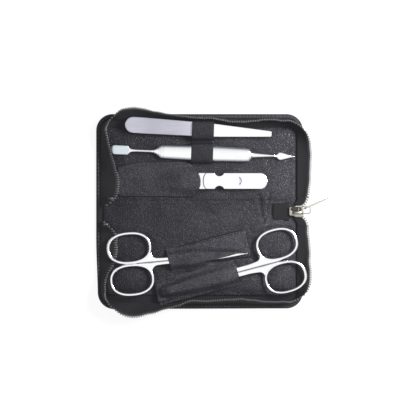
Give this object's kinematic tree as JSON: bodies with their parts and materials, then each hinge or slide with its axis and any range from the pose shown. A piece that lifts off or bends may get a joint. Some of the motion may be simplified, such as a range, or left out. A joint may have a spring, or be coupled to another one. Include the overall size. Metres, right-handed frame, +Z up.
{
  "type": "manicure set case",
  "caption": "Zip-round black leather manicure case lying open, with loops, sheaths and a pocket that hold tweezers, a cuticle pusher, a nail clipper and scissors.",
  "frame": {"origin": "middle of the spine on its outer leather, the face that the open case rests on", "axes": "+X along the spine towards the zip slider, +Y across the spine towards the half that holds the tweezers, +Z up out of the open case"},
  "size_m": [0.1611, 0.1483, 0.017],
  "materials": {
    "outer_leather": "black pebbled leather, satin, turned and stitched at the edge",
    "lining_leather": "black grained lining leather over thin foam, soft sheen",
    "holder_leather": "black grained leather, stitched loops, sheaths and pocket",
    "board": "thin stiffening board, hidden",
    "foam": "thin padding foam, hidden",
    "zip_tape": "black woven zip tape, matt",
    "zip_teeth": "dark moulded coil teeth with light glints",
    "zip_metal": "nickel-plated slider, link, pull and stops",
    "polished_steel": "polished nickel-plated steel",
    "satin_steel": "satin steel brushed along its length"
  },
  "bodies": {
    "lower_case": {"lower_cover_leather": "outer_leather", "lower_board": "board", "lower_foam_pad": "foam", "lower_lining": "lining_leather", "lower_zip_tape": "zip_tape", "lower_zip_teeth": "zip_teeth", "lower_top_stop": "zip_metal", "left_scissors_sheath": "holder_leather", "right_scissors_sheath": "holder_leather"},
    "spine": {"spine_leather": "outer_leather", "spine_lining": "lining_leather", "spine_padding": "foam", "spine_zip_tape": "zip_tape", "zip_end_tab": "zip_tape", "slider_body": "zip_metal"},
    "pull_link": {"pull_link": "zip_metal"},
    "pull_tab": {"pull_tab": "zip_metal"},
    "upper_case": {"upper_cover_leather": "outer_leather", "upper_board": "board", "upper_foam_pad": "foam", "upper_lining": "lining_leather", "upper_zip_tape": "zip_tape", "upper_zip_teeth": "zip_teeth", "upper_top_stop": "zip_metal", "tool_strap": "holder_leather", "clipper_pocket": "holder_leather"},
    "tweezers": {"tweezers_lower_arm": "satin_steel"},
    "tweezers_arm": {"tweezers_upper_arm": "satin_steel"},
    "pusher": {"cuticle_pusher": "polished_steel"},
    "clipper": {"clipper_lower_jaw": "polished_steel", "clipper_rivet": "polished_steel"},
    "clipper_jaw": {"clipper_upper_jaw": "polished_steel"},
    "clipper_pin": {"clipper_pin": "polished_steel"},
    "clipper_lever": {"clipper_lever": "polished_steel"},
    "left_scissors": {"left_scissors_lower_half": "polished_steel", "left_scissors_screw": "polished_steel"},
    "left_scissors_half": {"left_scissors_upper_half": "polished_steel"},
    "right_scissors": {"right_scissors_lower_half": "polished_steel", "right_scissors_screw": "polished_steel"},
    "right_scissors_half": {"right_scissors_upper_half": "polished_steel"}
  },
  "joints": [
    {"name": "spine_fold", "type": "hinge", "parent": "lower_case", "child": "spine", "pos_m": [0, -0.0074, 0.002], "axis": [-1, 0, 0], "range_deg": [-85.6, 0]},
    {"name": "cover_fold", "type": "hinge", "parent": "spine", "child": "upper_case", "pos_m": [0, 0.0074, 0.002], "axis": [-1, 0, 0], "range_deg": [-85.6, 0], "deforming": ["upper_zip_tape", "upper_zip_teeth"]},
    {"name": "pull_link_swing", "type": "hinge", "parent": "spine", "child": "pull_link", "pos_m": [0.069, 0, 0.0073], "axis": [0, -1, 0], "range_deg": [0, 90]},
    {"name": "pull_tab_swing", "type": "hinge", "parent": "pull_link", "child": "pull_tab", "pos_m": [0.0757, 0.0032, 0.0073], "axis": [1, 0, 0], "range_deg": [-50, 60]},
    {"name": "tweezers_draw", "type": "slide", "parent": "upper_case", "child": "tweezers", "axis": [0.998, -0.0628, 0], "range_m": [0, 0.066]},
    {"name": "tweezers_squeeze", "type": "hinge", "parent": "tweezers", "child": "tweezers_arm", "pos_m": [-0.03963, 0.05908, 0.00843], "axis": [0.0628, 0.998, 0], "range_deg": [0, 1.8], "stiffness_Nm_per_rad": 1},
    {"name": "pusher_draw", "type": "slide", "parent": "upper_case", "child": "pusher", "axis": [0.9993, -0.0384, 0], "range_m": [0, 0.073]},
    {"name": "clipper_draw", "type": "slide", "parent": "upper_case", "child": "clipper", "axis": [1, 0, 0], "range_m": [0, 0.013]},
    {"name": "clipper_squeeze", "type": "hinge", "parent": "clipper", "child": "clipper_jaw", "pos_m": [0.043, 0.0211, 0.00645], "axis": [0, -1, 0], "range_deg": [0, 0.9], "stiffness_Nm_per_rad": 2},
    {"name": "lever_turn", "type": "hinge", "parent": "clipper", "child": "clipper_pin", "pos_m": [0.0055, 0.0211, 0.008], "axis": [0, 0, -1], "range_deg": [0, 180]},
    {"name": "lever_lift", "type": "hinge", "parent": "clipper_pin", "child": "clipper_lever", "pos_m": [0.0055, 0.0211, 0.01], "axis": [0, -1, 0], "range_deg": [0, 20]},
    {"name": "left_scissors_draw", "type": "slide", "parent": "lower_case", "child": "left_scissors", "axis": [-0.9954, -0.0958, 0], "range_m": [0, 0.056], "deforming": ["lower_zip_tape", "lower_zip_teeth"]},
    {"name": "left_scissors_open", "type": "hinge", "parent": "left_scissors", "child": "left_scissors_half", "pos_m": [-0.0035, -0.03245, 0.0082], "axis": [0, 0, -1], "range_deg": [0, 4.2]},
    {"name": "right_scissors_draw", "type": "slide", "parent": "lower_case", "child": "right_scissors", "axis": [0.9677, 0.2521, 0], "range_m": [0, 0.054]},
    {"name": "right_scissors_open", "type": "hinge", "parent": "right_scissors", "child": "right_scissors_half", "pos_m": [0.0128, -0.0459, 0.0082], "axis": [0, 0, -1], "range_deg": [0, 3.4]}
  ],
  "couplings": [
    {"joint": "cover_fold", "follows": "spine_fold", "ratio": 1}
  ]
}
